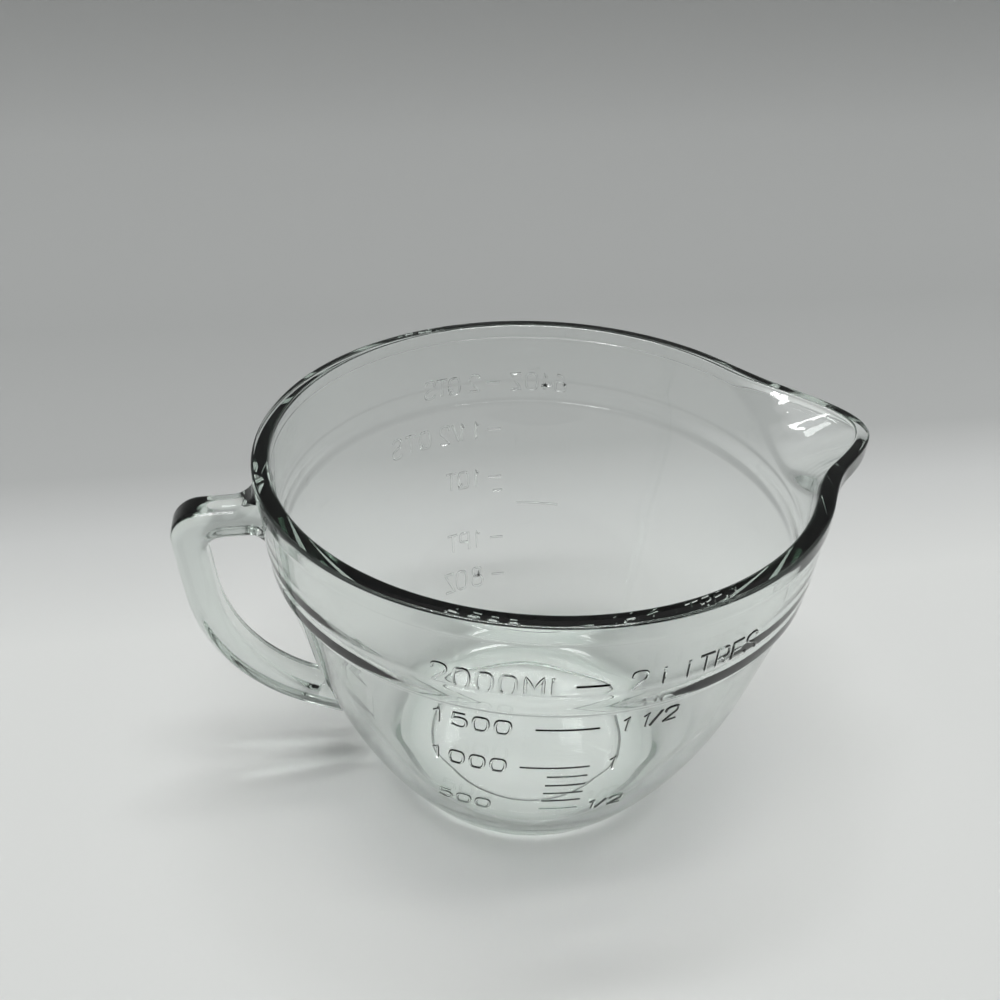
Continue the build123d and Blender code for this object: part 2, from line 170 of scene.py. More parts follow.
def bowlOutline():  # from the axis under the floor, round the foot and over the rim, to the axis inside
    n = outlineSteps
    edge = b["footRound"]
    recess = b["recessRound"]
    rim = b["rimRound"]
    corner = b["beadCorner"]
    points = [Vector((0, b["footHeight"]))]
    points += straight(points[-1], Vector((b["footInner"] - recess, b["footHeight"])), n["underside"])
    hollow = Vector((b["footInner"] - recess, b["footHeight"] - recess))
    points += arc(hollow, recess, -90, 0, n["recessRound"])
    if b["footHeight"] - recess > edge:
        points.append(Vector((b["footInner"], edge)))
    points += arc(Vector((b["footInner"] + edge, edge)), edge, 180, 90, n["footRound"])
    points += straight(points[-1], Vector((heelCentre.x, 0)), n["foot"])
    points += arc(heelCentre, heelRadius, 90, b["heelAngle"], n["heel"])
    points += arc(curveCentre, b["curveRadius"], b["heelAngle"], b["coneDraft"], n["curve"])
    points += straight(coneFoot, coneTop, n["cone"])
    points += softStep(coneTop, bandFoot, n["lowerLedge"])
    points += straight(bandFoot, bandTop, n["band"])
    points += softStep(bandTop, collarFoot, n["upperLedge"])
    points += straight(collarFoot, collarTop, n["collar"])
    points += arc(Vector((b["rimRadius"] - corner, beadFoot + corner)), corner, 90, 0, n["beadCorner"])
    points += straight(points[-1], Vector((b["rimRadius"], b["height"] - rim)), n["bead"])
    points += arc(Vector((b["rimRadius"] - rim, b["height"] - rim)), rim, 0, -90, n["rimRound"])
    points += straight(points[-1], Vector((innerRim.x + rim, b["height"])), n["rimTop"])
    points += arc(Vector((innerRim.x + rim, innerRim.y)), rim, -90, -180, n["rimRound"])
    upperBlend = innerMeet + alongWall(b["collarDraft"]) * blendRun
    lowerBlend = innerMeet - alongWall(b["coneDraft"]) * blendRun
    blendCentre = upperBlend - outward(b["collarDraft"]) * b["innerBlend"]
    points += straight(innerRim, upperBlend, n["innerCollar"])
    points += arc(blendCentre, b["innerBlend"], b["collarDraft"], b["coneDraft"], n["innerBlend"])
    points += straight(lowerBlend, innerConeFoot, n["innerCone"])
    points += arc(curveCentre, innerRadius, b["coneDraft"], cornerAngle, n["innerCurve"])
    points += arc(cornerCentre, b["floorCorner"], cornerAngle, 90, n["floorCorner"])
    points += straight(points[-1], Vector((0, floorTop)), n["floor"])
    return points


def deselectAll():
    if bpy.context.object and bpy.context.object.mode != "OBJECT":
        bpy.ops.object.mode_set(mode="OBJECT")
    bpy.ops.object.select_all(action="DESELECT")


def pickOnly(piece):
    deselectAll()
    piece.select_set(True)
    bpy.context.view_layer.objects.active = piece


def startPoint(name, place):  # a piece that is one vertex, left in edit mode
    deselectAll()
    bpy.ops.mesh.primitive_plane_add(size=mm, location=place)
    piece = bpy.context.object
    piece.name = name
    bpy.ops.object.transform_apply(location=True, rotation=True, scale=True)
    bpy.ops.object.mode_set(mode="EDIT")
    bpy.ops.mesh.select_mode(type="VERT")
    bpy.ops.mesh.select_all(action="SELECT")
    bpy.ops.mesh.merge(type="CENTER")
    return piece


def drawLine(name, points):  # a chain of edges in the XZ plane, drawn out point by point
    piece = startPoint(name, (points[0].x * mm, 0, points[0].y * mm))
    for last, point in zip(points, points[1:]):
        move = ((point.x - last.x) * mm, 0, (point.y - last.y) * mm)
        bpy.ops.mesh.extrude_region_move(TRANSFORM_OT_translate={"value": move})
    return piece


def tidyMesh():  # in edit mode
    bpy.ops.mesh.select_all(action="SELECT")
    bpy.ops.mesh.remove_doubles(threshold=hair * mm)
    bpy.ops.mesh.normals_make_consistent(inside=False)


def join(body, other):  # one glass body out of two
    pickOnly(body)
    modifier = body.modifiers.new("join", "BOOLEAN")
    modifier.operation = "UNION"
    modifier.solver = "MANIFOLD"
    modifier.object = other
    bpy.ops.object.modifier_apply(modifier=modifier.name)
    bpy.data.objects.remove(other)


spoutSize = {  # millimetres and degrees
    "halfAngle": 32.0,  # of the part of the wall that it takes up
    "seat": 115.4,  # height at which it leaves the wall
    "reach": 117.3,  # of its tip from the axis
    "dip": 2.4,  # of its tip under the rim
    "bluntness": 21.9,
    "spread": 1.25,  # how wide the V opens
    "channelReach": 112.3,
    "channelBluntness": 17.6,
    "channelEdge": 1.0,
    "channelSlope": 28.4,  # of its bed over the level
    "channelBlend": 5.0,
    "lipBlend": 6.0,
    "ripple": 0.25,  # how far the pressed face of the channel swells, at its middle
    "rippleAcross": 9.0,  # millimetres from crest to crest
    "rippleDown": 11.0,
    "rippleFade": 6.0,  # from the plain wall to where the swell is full
    "crestShift": (0.5, 3),  # how unevenly the crests are spaced, and how often that repeats
}


def nose(angle, reach, bluntness):  # where the ray at an angle meets a V with a rounded nose at reach
    root = reach + bluntness
    across = math.cos(angle)
    along = spoutSize["spread"] * math.sin(angle)
    share = across * across - along * along
    inside = (root * across) ** 2 - share * (root * root - bluntness * bluntness)
    return (root * across - math.sqrt(inside)) / share


def blend(one, other, width):  # the larger of two radii, its crease rounded over a width
    gap = max(width - abs(one - other), 0)
    return max(one, other) + gap * gap / (4 * width)


def spoutPoint(angle, radius, height, inside):  # where the spout moves a point of the plain wall
    s = spoutSize
    lip = blend(b["rimRadius"], nose(angle, s["reach"], s["bluntness"]), s["lipBlend"])
    share = (lip - b["rimRadius"]) / (s["reach"] - b["rimRadius"])
    crest = b["height"] - s["dip"] * share
    runPerRise = 1 / tangent(s["channelSlope"])
    if inside:
        edge = b["rimRound"] - (b["rimRound"] - s["channelEdge"]) * share
        channelTop = crest - edge
        if height > innerRim.y:  # rounded inner edge of the rim
            channelNose = nose(angle, s["channelReach"], s["channelBluntness"])
            top = blend(innerRim.x, channelNose, s["channelBlend"])
            scale = edge / b["rimRound"]
            return top + (radius - innerRim.x) * scale, channelTop + (height - innerRim.y) * scale
        stretch = (channelTop - s["seat"]) / (innerRim.y - s["seat"])
        newHeight = s["seat"] + (height - s["seat"]) * stretch
        reach = s["channelReach"] - runPerRise * (channelTop - newHeight)
        channel = blend(radius, nose(angle, reach, s["channelBluntness"]), s["channelBlend"])
        shift, repeats = s["crestShift"]
        uneven = angle + shift * math.sin(repeats * angle)
        across = math.sin(2 * math.pi * channel * uneven / s["rippleAcross"])
        down = math.sin(2 * math.pi * (newHeight + channel * angle) / s["rippleDown"])
        swell = s["ripple"] * min(1, (channel - radius) / s["rippleFade"]) * (across + down)
        return channel + swell, newHeight
    newFoot = crest - b["rimDepth"]
    if height > beadFoot + hair:  # the bead goes round the lip as it is
        return radius + lip - b["rimRadius"], height + crest - b["height"]
    stretch = (newFoot - s["seat"]) / (beadFoot - s["seat"])
    newHeight = s["seat"] + (height - s["seat"]) * stretch
    reach = s["reach"] - b["beadProud"] - runPerRise * (newFoot - newHeight)
    return blend(radius, nose(angle, reach, s["bluntness"]), s["lipBlend"]), newHeight


def pullSpout(piece):  # draws the spout out of the plain wall
    halfAngle = math.radians(spoutSize["halfAngle"])
    middle = innerRim.x + b["rimWidth"] / 2
    for vertex in piece.data.vertices:
        x, y, z = vertex.co
        angle = math.atan2(y, x)
        height = z / mm
        radius = math.hypot(x, y) / mm
        if abs(angle) >= halfAngle or height <= spoutSize["seat"]:
            continue
        newRadius, newHeight = spoutPoint(angle, radius, height, radius < middle)
        vertex.co = (newRadius * mm * math.cos(angle), newRadius * mm * math.sin(angle), newHeight * mm)


def makeBowl():
    piece = drawLine("glassBowl", bowlOutline())
    bpy.ops.mesh.select_all(action="SELECT")
    bpy.ops.mesh.spin(steps=b["turns"], angle=2 * math.pi, center=(0, 0, 0), axis=(0, 0, 1))
    tidyMesh()
    bpy.ops.object.mode_set(mode="OBJECT")
    pullSpout(piece)
    return piece


handleSize = {  # millimetres and degrees
    "width": 14.6,
    "thickness": 10.4,
    "edgeRound": 3.5,
    "edgeSteps": 6,
    "top": 123.4,  # of the level upper arm
    "reach": 125.6,
    "lean": 4.0,  # of the upright part
    "bendHeight": 90.0,
    "bendRadius": 64.0,
    "endAngle": 62.0,  # of the lower arm
    "outerCorner": 10.4,
    "innerCorner": 6.0,
    "topFillet": 9.0,
    "rootFillet": 5.5,
    "rootHeight": 33.0,  # where the lower arm meets the wall
    "crotchRound": 2.6,
    "stand": 0.2,  # of its roundings off the wall
    "lead": 0.3,  # straight run beyond a rounding
    "sink": 4.4,  # how far its ends reach into the wall
    "buried": 3.0,  # depth in the wall from which edges stay sharp
    "sideInset": 0.4,
    "spacing": 1.6,  # between the points of its outline
}


def cross(one, other):
    return one.x * other.y - one.y * other.x


def meet(start, direction, otherStart, otherDirection):  # where two straight lines cross
    run = cross(otherStart - start, otherDirection) / cross(direction, otherDirection)
    return start + direction * run


def evenly(start, end, spacing):  # points after the first one
    return straight(start, end, max(1, round((end - start).length / spacing)))


def roundedRun(corners, radii, spacing):  # straight runs joined by tangent arcs, as points
    points = [corners[0]]
    for last, corner, after, radius in zip(corners, corners[1:], corners[2:], radii):
        back = (last - corner).normalized()
        onward = (after - corner).normalized()
        half = back.angle(onward) / 2
        start = corner + back * (radius / math.tan(half))
        centre = corner + (back + onward).normalized() * (radius / math.sin(half))
        points += evenly(points[-1], start, spacing)
        turn = math.pi - 2 * half
        steps = max(4, round(radius * turn / spacing))  # a small arc still looks round
        spoke = start - centre
        way = 1 if cross(corner - last, after - corner) > 0 else -1
        for step in range(1, steps + 1):
            swing = way * turn * step / steps
            cosine, sine = math.cos(swing), math.sin(swing)
            turned = Vector((spoke.x * cosine - spoke.y * sine, spoke.x * sine + spoke.y * cosine))
            points.append(centre + turned)
    return points + evenly(points[-1], corners[-1], spacing)


def handleOutline():  # its side outline, level upper arm first
    h = handleSize
    half = h["thickness"] / 2
    dropDown = -alongWall(h["lean"])
    dropOut = outward(h["lean"])
    armDown = -alongWall(h["endAngle"])
    armOut = outward(h["endAngle"])
    level = Vector((1, 0))
    under = h["top"] - h["thickness"]
    overWall = outerCollar(h["top"] + h["topFillet"]) + h["stand"]
    underWall = outerRadius(under) + h["stand"]
    outerElbow = Vector((h["reach"], h["top"]))
    innerDrop = outerElbow - dropOut * h["thickness"]
    innerElbow = meet(innerDrop, dropDown, Vector((0, under)), level)
    bendStart = meet(outerElbow, dropDown, Vector((0, h["bendHeight"])), level)
    bendCentre = bendStart - dropOut * (h["bendRadius"] + half)
    outerArm = bendCentre + armOut * (h["bendRadius"] + half)
    innerArm = bendCentre + armOut * (h["bendRadius"] - half)
    outerBend = meet(outerElbow, dropDown, outerArm, armDown)
    innerBend = meet(innerDrop, dropDown, innerArm, armDown)
    rootAngle = math.degrees(math.asin((curveCentre.y - h["rootHeight"]) / b["curveRadius"]))
    rootWall = curveCentre + outward(rootAngle) * (b["curveRadius"] + h["stand"])
    rootUp = alongWall(rootAngle)
    outerRoot = meet(outerArm, armDown, rootWall, rootUp)
    innerRoot = meet(innerArm, armDown, rootWall, rootUp)
    rootTurn = math.radians(h["endAngle"] - rootAngle)
    outerEnd = outerRoot - rootUp * (h["lead"] + h["rootFillet"] * math.tan(rootTurn / 2))
    innerEnd = innerRoot + rootUp * (h["lead"] + h["crotchRound"] / math.tan(rootTurn / 2))
    overEnd = Vector((overWall, h["top"] + h["topFillet"] + h["stand"]))
    underEnd = Vector((underWall, under - h["rootFillet"] - h["lead"]))
    outer = roundedRun(
        [overEnd, Vector((overWall, h["top"])), outerElbow, outerBend, outerRoot, outerEnd],
        [h["topFillet"], h["outerCorner"], h["bendRadius"] + half, h["rootFillet"]],
        h["spacing"],
    )
    inner = roundedRun(
        [innerEnd, innerRoot, innerBend, innerElbow, Vector((underWall, under)), underEnd],
        [h["crotchRound"], h["bendRadius"] - half, h["innerCorner"], h["rootFillet"]],
        h["spacing"],
    )
    inUpper = Vector((h["sink"], 0))
    inLower = -outward(rootAngle) * h["sink"]
    lowerEnd = [outerEnd + inLower, innerEnd + inLower]
    upperEnd = [underEnd - inUpper, overEnd - inUpper]
    return outer + lowerEnd + inner + upperEnd


def isBuried(vertex):  # well inside the wall
    return outerRadius(vertex.co.z / mm) + vertex.co.x / mm > handleSize["buried"]


def makeHandle():
    width = handleSize["width"] * mm
    corners = [Vector((-point.x, point.y)) for point in handleOutline()]
    piece = drawLine("glassHandle", corners)
    bpy.ops.mesh.select_all(action="SELECT")
    bpy.ops.mesh.edge_face_add()
    bpy.ops.transform.translate(value=(0, -width / 2, 0))
    bpy.ops.mesh.extrude_region_move(TRANSFORM_OT_translate={"value": (0, width, 0)})
    tidyMesh()
    mesh = bmesh.from_edit_mesh(piece.data)
    bpy.ops.mesh.select_all(action="DESELECT")
    bpy.ops.mesh.select_mode(type="EDGE")
    for edge in mesh.edges:  # the two sides are the faces with many corners
        onSide = any(len(face.verts) > 4 for face in edge.link_faces)
        edge.select_set(onSide and not all(isBuried(vertex) for vertex in edge.verts))
    bmesh.update_edit_mesh(piece.data)
    bpy.ops.mesh.bevel(
        offset=handleSize["edgeRound"] * mm, segments=handleSize["edgeSteps"], profile=0.5,
        clamp_overlap=False,
    )
    tidyMesh()
    bpy.ops.mesh.select_all(action="DESELECT")
    mesh = bmesh.from_edit_mesh(piece.data)
    bpy.ops.mesh.select_mode(type="FACE")
    for face in mesh.faces:
        face.select_set(len(face.verts) > 4)
    bmesh.update_edit_mesh(piece.data)
    bpy.ops.mesh.inset(thickness=handleSize["sideInset"] * mm)
    bpy.ops.mesh.quads_convert_to_tris()
    bpy.ops.object.mode_set(mode="OBJECT")
    return piece


# raised figures and lines of the two scales
scaleSize = {  # millimetres
    "tube": 0.55,  # radius of the round bar that stands half out of the wall
    "tubeSides": 2,  # Blender's bevel resolution
    "sink": 0.14,  # of its middle under the wall
    "spacing": 1.5,  # between the points of a bar
    "bendSteps": 4,
    "figureWidth": 4.8,
    "figureHeight": 7.2,
}
litreScale = {
    "facing": -90.0,  # degrees from +X
    "labels": [  # text, distance of the first figure along the wall, pitch, height
        ("2000", -47.5, 6.5, 117.9),
        ("ML", -20.8, 7.0, 117.9),
        ("2", 8.5, 6.5, 117.9),
        ("LITRES", 17.8, 5.8, 117.9),
        ("1500", -47.5, 6.5, 96.6),
        ("1", 8.3, 6.5, 96.6),
        ("1/2", 14.5, 4.0, 96.6),
        ("1000", -47.5, 6.5, 74.6),
        ("1", 7.5, 6.5, 74.6),
        ("500", -44.0, 6.5, 45.7),
        ("1/2", 5.3, 4.0, 45.7),
    ],
    "rules": [  # start and end along the wall, height
        (-9.4, 0, 117.9),
        (-18.6, 0, 96.6),
        (-21.4, 0, 74.6),
        (-12.6, 0, 69.1),
        (-12.6, 0, 63.5),
        (-12.6, 0, 58.0),
        (-12.6, 0, 52.3),
        (-12.6, 0, 45.7),
    ],
}
quartScale = {
    "facing": 90.0,
    "labels": [
        ("64", -28.5, 6.0, 113.5),
        ("OZ", -15.9, 7.0, 113.5),
        ("2", 9.3, 6.0, 113.5),
        ("QTS", 18.5, 5.6, 113.5),
        ("1", 9.0, 6.0, 92.9),
        ("1/2", 15.5, 4.0, 92.9),
        ("QTS", 33.0, 7.0, 92.9),
        ("1", 9.5, 6.0, 71.7),
        ("QT", 15.5, 5.8, 71.7),
        ("1", 10.0, 6.0, 44.3),
        ("PT", 16.0, 5.8, 44.3),
        ("8", 10.9, 6.0, 28.4),
        ("OZ", 18.6, 6.0, 28.4),
    ],
    "rules": [
        (-2.0, 4.0, 113.5),
        (-2.0, 4.0, 92.9),
        (-2.0, 4.0, 71.7),
        (-2.5, 2.0, 65.4),
        (-27.5, -8.6, 59.2),
        (-2.0, 4.0, 44.3),
        (-2.0, 4.0, 28.4),
    ],
}
# strokes of a figure on a unit cell; one marked True is drawn as a smooth bend
ringStroke = (True, [(0.5, 1), (0.08, 0.98), (-0.04, 0.5), (0.08, 0.02), (0.5, 0), (0.92, 0.02),
                     (1.04, 0.5), (0.92, 0.98), (0.5, 1)])
bowStrokes = [(False, [(0.1, 0), (0.1, 1), (0.5, 1)]),
              (True, [(0.5, 1), (0.95, 1), (0.98, 0.5), (0.5, 0.48)]),
              (False, [(0.5, 0.48), (0.1, 0.48)])]
strokes = {
    "0": [(True, [(0.5, 1), (0.12, 0.98), (0, 0.5), (0.12, 0.02), (0.5, 0), (0.88, 0.02),
                  (1, 0.5), (0.88, 0.98), (0.5, 1)])],
    "1": [(False, [(0.25, 0.8), (0.55, 1), (0.55, 0)])],
    "2": [(True, [(0.06, 0.74), (0.1, 1), (0.5, 1.04), (0.92, 0.98), (0.95, 0.62), (0.5, 0.36),
                  (0.05, 0)]),
          (False, [(0.05, 0), (0.95, 0)])],
    "4": [(False, [(0.98, 0.28), (0.02, 0.28), (0.72, 1), (0.72, 0)])],
    "5": [(False, [(0.88, 1), (0.16, 1), (0.1, 0.56)]),
          (True, [(0.1, 0.56), (0.5, 0.72), (0.98, 0.62), (0.98, 0.04), (0.5, -0.03), (0.05, 0.12)])],
    "6": [(True, [(0.85, 0.98), (0.3, 0.95), (0.02, 0.45), (0.08, -0.03), (0.55, -0.02), (0.98, 0.02),
                  (0.96, 0.58), (0.5, 0.62), (0.08, 0.36)])],
    "8": [(True, [(0.5, 0.53), (0.08, 0.6), (0.1, 1), (0.5, 1.02), (0.9, 1), (0.92, 0.6), (0.5, 0.53),
                  (0.02, 0.5), (0.0, 0.02), (0.5, -0.02), (1, 0.02), (0.98, 0.5), (0.5, 0.53)])],
    "/": [(False, [(0, 0), (0.6, 1)])],
    "E": [(False, [(0.9, 1), (0.1, 1), (0.1, 0), (0.9, 0)]), (False, [(0.1, 0.52), (0.75, 0.52)])],
    "I": [(False, [(0.5, 0), (0.5, 1)])],
    "L": [(False, [(0.1, 1), (0.1, 0), (0.9, 0)])],
    "M": [(False, [(0, 0), (0, 1), (0.5, 0.35), (1, 1), (1, 0)])],
    "O": [ringStroke],
    "P": bowStrokes,
    "Q": [ringStroke, (False, [(0.6, 0.3), (1, -0.05)])],
    "R": bowStrokes + [(False, [(0.5, 0.48), (0.95, 0)])],
    "S": [(True, [(0.92, 0.84), (0.8, 1.04), (0.1, 1.04), (0.02, 0.62), (0.95, 0.42), (0.98, -0.02),
                  (0.2, -0.06), (0.05, 0.16)])],
    "T": [(False, [(0.5, 0), (0.5, 1)]), (False, [(0, 1), (1, 1)])],
    "Z": [(False, [(0.05, 1), (0.95, 1), (0.05, 0), (0.95, 0)])],
}


def wallPoint(facing, along, height, sink):  # metres, on the outer wall or sunk under it
    radius = outerRadius(height)
    angle = math.radians(facing) + along / radius
    return Vector(((radius - sink) * math.cos(angle), (radius - sink) * math.sin(angle), height)) * mm


def smoothLine(points, steps):  # a quadratic B-spline through the first and last points
    padded = [points[0]] + list(points) + [points[-1]]
    line = []
    for one, two, three in zip(padded, padded[1:], padded[2:]):
        start = Vector(one).lerp(Vector(two), 0.5)
        end = Vector(two).lerp(Vector(three), 0.5)
        for step in range(steps):
            share = step / steps
            line.append(start.lerp(Vector(two), share).lerp(Vector(two).lerp(end, share), share))
    return line + [Vector(points[-1])]


def makeTube(points):  # round bar along points, closed at both ends
    curve = bpy.data.curves.new("scaleStroke", "CURVE")
    curve.dimensions = "3D"
    curve.bevel_depth = scaleSize["tube"] * mm
    curve.bevel_resolution = scaleSize["tubeSides"]
    curve.use_fill_caps = True
    spline = curve.splines.new("POLY")
    spline.points.add(len(points) - 1)
    for target, point in zip(spline.points, points):
        target.co = (*point, 1)
    piece = bpy.data.objects.new("scaleStroke", curve)
    bpy.context.scene.collection.objects.link(piece)
    pickOnly(piece)
    bpy.ops.object.convert(target="MESH")
    piece = bpy.context.object
    bpy.ops.object.mode_set(mode="EDIT")
    tidyMesh()
    bpy.ops.object.mode_set(mode="OBJECT")
    return piece


def strokeLines(text):  # each stroke of a text on unit cells, with the place of its cell
    for place, character in enumerate(text):
        for smooth, points in strokes[character]:
            if smooth:
                yield place, smoothLine(points, scaleSize["bendSteps"])
            else:
                yield place, [Vector(point) for point in points]


def spreadLine(line, spacing):  # a line with points added so that it can follow the curve of the wall
    points = [line[0]]
    for point in line[1:]:
        points += evenly(points[-1], point, spacing)
    return points


def makeScale(scale):  # every stroke and line of a scale, joined to one piece
    width, height = scaleSize["figureWidth"], scaleSize["figureHeight"]
    lines = []
    for text, start, pitch, middle in scale["labels"]:
        for place, line in strokeLines(text):
            centre = start + place * pitch
            lines.append([
                Vector((centre + (point.x - 0.5) * width, middle + (point.y - 0.5) * height))
                for point in line
            ])
    for start, end, level in scale["rules"]:
        lines.append([Vector((start, level)), Vector((end, level))])
    piece = None
    for line in lines:
        route = [
            wallPoint(scale["facing"], point.x, point.y, scaleSize["sink"])
            for point in spreadLine(line, scaleSize["spacing"])
        ]
        bar = makeTube(route)
        if piece:
            join(piece, bar)
        else:
            piece = bar
    return piece


# the whole piece of glass
bowl = makeBowl()
print("bowl", len(bowl.data.vertices), "vertices", len(bowl.data.polygons), "faces")
handle = makeHandle()
print("handle", len(handle.data.vertices), "vertices")
join(bowl, handle)
print("joined", len(bowl.data.vertices), "vertices", len(bowl.data.polygons), "faces")
for scale in (litreScale, quartScale):
    join(bowl, makeScale(scale))
    print("scale joined", len(bowl.data.vertices), "vertices", len(bowl.data.polygons), "faces")
pickOnly(bowl)
bpy.ops.object.shade_smooth_by_angle(angle=math.radians(b["smoothAngle"]))
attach(bowl, "root")
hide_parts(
    "bowl_wall", "bowl_floor", "foot_ring", "rim_bead", "pour_spout", "handle", "litre_scale",
    "quart_scale",
)


def linear(hexColour):  # sRGB hex to linear RGBA, by the standard's own curve
    channels = [int(hexColour[place:place + 2], 16) / 255 for place in (1, 3, 5)]
    return tuple(c / 12.92 if c <= 0.04045 else ((c + 0.055) / 1.055) ** 2.4 for c in channels) + (1.0,)


def addNode(tree, kind, feeds=(), **settings):  # feeds as (input, socket or number), settings by name
    node = tree.nodes.new(kind)
    sockets = {}
    for socket in node.inputs:
        sockets.setdefault(socket.name.lower().replace(" ", "_"), socket)
    for name, value in settings.items():
        if name in sockets:
            sockets[name].default_value = value
        else:
            setattr(node, name, value)
    for target, source in feeds:
        if isinstance(source, bpy.types.NodeSocket):
            tree.links.new(source, node.inputs[target])
        else:
            node.inputs[target].default_value = source
    return node


def newMaterial(name):
    material = bpy.data.materials.new(name)
    material.use_nodes = True
    material.node_tree.nodes.clear()
    return material, material.node_tree


glassLook = {
    "tint": "#FFFFFF",
    "refraction": 1.517,  # soda-lime glass
    "depthColour": "#AAC5B6",  # iron in the sand leaves it
    "density": 20.0,  # per metre
    "waviness": 26.0,  # millimetres between the slow waves that pressing leaves
    "waveDepth": 0.03,
    "waveDetail": 1.5,
    "waveRoughness": 0.4,
}


# soda-lime glass pressed in a mould and fire-polished: clear and smooth, its faces gently uneven, and
# grey-green only where the eye looks along it, as at the rim
def pressedGlass():
    look = glassLook
    material, tree = newMaterial("pressed soda-lime glass")
    coordinate = addNode(tree, "ShaderNodeTexCoord")
    wave = addNode(
        tree, "ShaderNodeTexNoise", [("Vector", coordinate.outputs["Object"])],
        scale=1 / (look["waviness"] * mm), detail=look["waveDetail"], roughness=look["waveRoughness"],
    )
    bump = addNode(
        tree, "ShaderNodeBump", [("Height", wave.outputs["Fac"])],
        distance=look["waveDepth"] * mm, strength=1.0,
    )
    surface = addNode(
        tree, "ShaderNodeBsdfPrincipled", [("Normal", bump.outputs["Normal"])],
        base_color=linear(look["tint"]), roughness=0.0, ior=look["refraction"],
        transmission_weight=1.0,
    )
    inside = addNode(
        tree, "ShaderNodeVolumeAbsorption", color=linear(look["depthColour"]),
        density=look["density"],
    )
    addNode(
        tree, "ShaderNodeOutputMaterial",
        [("Surface", surface.outputs["BSDF"]), ("Volume", inside.outputs["Volume"])],
    )
    return material


bowl.data.materials.clear()
bowl.data.materials.append(pressedGlass())
print("glass material")

# a paper sweep in a light tent that is open towards the camera
paperSize = {  # metres
    "front": 1.6,
    "back": 0.19,  # where its bend starts behind the bowl
    "radius": 0.42,
    "height": 0.75,
    "half": 1.8,  # of its width
    "steps": 16,
    "roughness": 0.9,
    # distance behind the middle of the bowl and the grey painted there as shade, darkest round the bend
    # where less light falls
    "paintedShadeColours": (
        (0.08, "#D6D8D6"), (0.16, "#C4C6C5"), (0.22, "#ABADAC"), (0.35, "#A6A8A7"), (0.6, "#BEC0BF"),
    ),
}
tentLight = {  # levels, with 1 as white, and the heights of a direction between which they change
    "ceiling": 1.9,
    "strips": 14.0,  # two lamp strips across the ceiling
    "stripPlace": 0.16,  # run per rise from straight up, fore and aft
    "stripHalf": (0.35, 0.045),
    "stripRise": 0.5,  # only a direction that rises more than this sees them
    "wall": 0.31,
    "ceilingRise": (0.88, 0.96),
    "opening": 0.03,  # share of the light left where the tent is open
    "openingWidth": (0.2, 0.6),
    "openingTop": (0.45, 0.75),
    "backdrop": 0.5,
}


# seamless background paper: matt and of one grey, with painted shade that deepens its colour towards
# the bend, where less light falls, and pales it again higher up, as in the photograph
def makePaper():
    p = paperSize
    rise = [Vector((-p["front"], 0)), Vector((p["back"], 0))]
    for step in range(1, p["steps"] + 1):
        angle = math.radians(90 * step / p["steps"])
        run = p["back"] + p["radius"] * math.sin(angle)
        rise.append(Vector((run, p["radius"] * (1 - math.cos(angle)))))
    rise.append(Vector((rise[-1].x, p["height"])))
    paper = startPoint("paperSweep", (-p["half"], rise[0].x, 0))
    for last, point in zip(rise, rise[1:]):
        move = (0, point.x - last.x, point.y - last.y)
        bpy.ops.mesh.extrude_region_move(TRANSFORM_OT_translate={"value": move})
    bpy.ops.mesh.select_all(action="SELECT")
    bpy.ops.mesh.extrude_region_move(TRANSFORM_OT_translate={"value": (2 * p["half"], 0, 0)})
    bpy.ops.mesh.select_all(action="SELECT")
    bpy.ops.mesh.normals_make_consistent(inside=True)
    bpy.ops.object.mode_set(mode="OBJECT")
    bpy.ops.object.shade_smooth()
    material, tree = newMaterial("seamless paper with painted shade")
    coordinate = addNode(tree, "ShaderNodeTexCoord")
    place = addNode(tree, "ShaderNodeSeparateXYZ", [("Vector", coordinate.outputs["Object"])])
    start, finish = p["paintedShadeColours"][0][0], p["paintedShadeColours"][-1][0]
    share = addNode(
        tree, "ShaderNodeMapRange", [("Value", place.outputs["Y"])], from_min=start, from_max=finish,
    )
    # painted shade: the grey changes with distance behind the bowl only as the light on the sweep would
    ramp = addNode(tree, "ShaderNodeValToRGB", [("Fac", share.outputs["Result"])])
    stops = ramp.color_ramp.elements
    for distance, colour in p["paintedShadeColours"][1:-1]:
        stops.new((distance - start) / (finish - start)).color = linear(colour)
    stops[0].color = linear(p["paintedShadeColours"][0][1])
    stops[-1].color = linear(p["paintedShadeColours"][-1][1])
    surface = addNode(
        tree, "ShaderNodeBsdfPrincipled", [("Base Color", ramp.outputs["Color"])],
        roughness=p["roughness"],
    )
    addNode(tree, "ShaderNodeOutputMaterial", [("Surface", surface.outputs["BSDF"])])
    paper.data.materials.append(material)


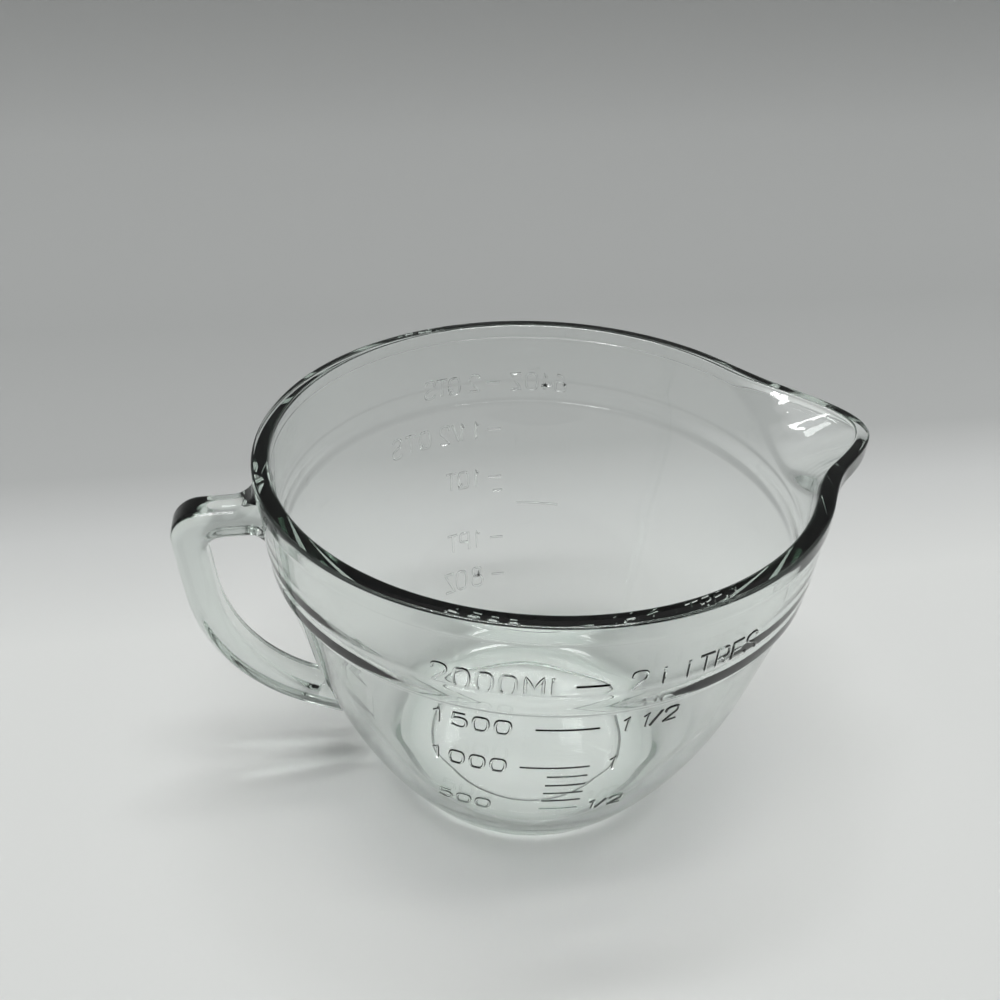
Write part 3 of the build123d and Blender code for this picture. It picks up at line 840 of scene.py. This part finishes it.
# light by direction, and a plain backdrop where the eye sees it past or through the glass
def makeTent():
    t = tentLight
    world = bpy.data.worlds.new("light tent")
    bpy.context.scene.world = world
    world.use_nodes = True
    tree = world.node_tree
    tree.nodes.clear()
    coordinate = addNode(tree, "ShaderNodeTexCoord")
    aim = addNode(tree, "ShaderNodeSeparateXYZ", [("Vector", coordinate.outputs["Generated"])])
    lamps = addNode(
        tree, "ShaderNodeMapRange", [("Value", aim.outputs["Z"])], interpolation_type="SMOOTHSTEP",
        from_min=t["ceilingRise"][0], from_max=t["ceilingRise"][1], to_min=t["wall"],
        to_max=t["ceiling"],
    )
    ahead = addNode(  # run per rise of a direction, fore and aft
        tree, "ShaderNodeMath", [(0, aim.outputs["Y"]), (1, aim.outputs["Z"])], operation="DIVIDE",
    )
    aside = addNode(
        tree, "ShaderNodeMath", [(0, aim.outputs["X"]), (1, aim.outputs["Z"])], operation="DIVIDE",
    )
    near = addNode(tree, "ShaderNodeMath", [(0, ahead.outputs["Value"])], operation="ABSOLUTE")
    onStrip = addNode(
        tree, "ShaderNodeMath",
        [(0, near.outputs["Value"]), (1, t["stripPlace"]), (2, t["stripHalf"][1])],
        operation="COMPARE",
    )
    inLength = addNode(
        tree, "ShaderNodeMath", [(0, aside.outputs["Value"]), (1, 0.0), (2, t["stripHalf"][0])],
        operation="COMPARE",
    )
    above = addNode(
        tree, "ShaderNodeMath", [(0, aim.outputs["Z"]), (1, t["stripRise"])],
        operation="GREATER_THAN",
    )
    both = addNode(
        tree, "ShaderNodeMath", [(0, onStrip.outputs["Value"]), (1, inLength.outputs["Value"])],
        operation="MULTIPLY",
    )
    strip = addNode(
        tree, "ShaderNodeMath", [(0, both.outputs["Value"]), (1, above.outputs["Value"])],
        operation="MULTIPLY",
    )
    sky = addNode(
        tree, "ShaderNodeMath",
        [(0, strip.outputs["Value"]), (1, t["strips"]), (2, lamps.outputs["Result"])],
        operation="MULTIPLY_ADD",
    )
    toEye = addNode(
        tree, "ShaderNodeMapRange", [("Value", aim.outputs["Y"])], interpolation_type="SMOOTHSTEP",
        from_min=-t["openingWidth"][0], from_max=-t["openingWidth"][1],
    )
    under = addNode(
        tree, "ShaderNodeMapRange", [("Value", aim.outputs["Z"])], interpolation_type="SMOOTHSTEP",
        from_min=t["openingTop"][1], from_max=t["openingTop"][0], to_max=1 - t["opening"],
    )
    taken = addNode(
        tree, "ShaderNodeMath", [(0, toEye.outputs["Result"]), (1, under.outputs["Result"])],
        operation="MULTIPLY",
    )
    left = addNode(
        tree, "ShaderNodeMath", [(0, 1.0), (1, taken.outputs["Value"])], operation="SUBTRACT",
    )
    light = addNode(
        tree, "ShaderNodeMath", [(0, sky.outputs["Value"]), (1, left.outputs["Value"])],
        operation="MULTIPLY",
    )
    pale = addNode(
        tree, "ShaderNodeMath", [(0, sky.outputs["Value"]), (1, t["backdrop"])], operation="MAXIMUM",
    )
    path = addNode(tree, "ShaderNodeLightPath")
    first = addNode(  # 1 while the ray has met nothing matt
        tree, "ShaderNodeMath", [(0, path.outputs["Diffuse Depth"]), (1, 0.5)], operation="LESS_THAN",
    )
    through = addNode(
        tree, "ShaderNodeMath", [(0, path.outputs["Is Transmission Ray"]), (1, first.outputs["Value"])],
        operation="MULTIPLY",
    )
    seen = addNode(
        tree, "ShaderNodeMath", [(0, path.outputs["Is Camera Ray"]), (1, through.outputs["Value"])],
        operation="MAXIMUM",
    )
    white = linear("#FFFFFF")
    lit = addNode(tree, "ShaderNodeBackground", [("Strength", light.outputs["Value"])], color=white)
    plain = addNode(tree, "ShaderNodeBackground", [("Strength", pale.outputs["Value"])], color=white)
    mixed = addNode(
        tree, "ShaderNodeMixShader",
        [(0, seen.outputs["Value"]), (1, lit.outputs["Background"]), (2, plain.outputs["Background"])],
    )
    addNode(tree, "ShaderNodeOutputWorld", [("Surface", mixed.outputs["Shader"])])


makePaper()
print("paper")
makeTent()
print("light tent")
bpy.context.scene.cycles.blur_glossy = 0  # light that the glass gathers on the paper stays sharp

cameraSeat = {  # millimetres and degrees
    "place": (-68.0, -282.8, 311.2),
    "pitch": 55.89,
    "turn": -10.8,
    "roll": 1.81,
    "sensor": 36,
    "lens": 36,
    "nearest": 10.0,  # that it can see
}


def makeCamera():
    c = cameraSeat
    data = bpy.data.cameras.new("camera")
    data.sensor_width = c["sensor"]
    data.lens = c["lens"]
    data.clip_start = c["nearest"] * mm
    holder = bpy.data.objects.new("camera", data)
    bpy.context.scene.collection.objects.link(holder)
    tilt = Euler((math.radians(c["pitch"]), 0, math.radians(c["turn"]))).to_matrix().to_4x4()
    roll = Matrix.Rotation(math.radians(c["roll"]), 4, "Z")
    holder.matrix_world = Matrix.Translation(Vector(c["place"]) * mm) @ tilt @ roll
    bpy.context.scene.camera = holder


makeCamera()
print("camera")
bpy.context.scene.view_settings.view_transform = "Standard"
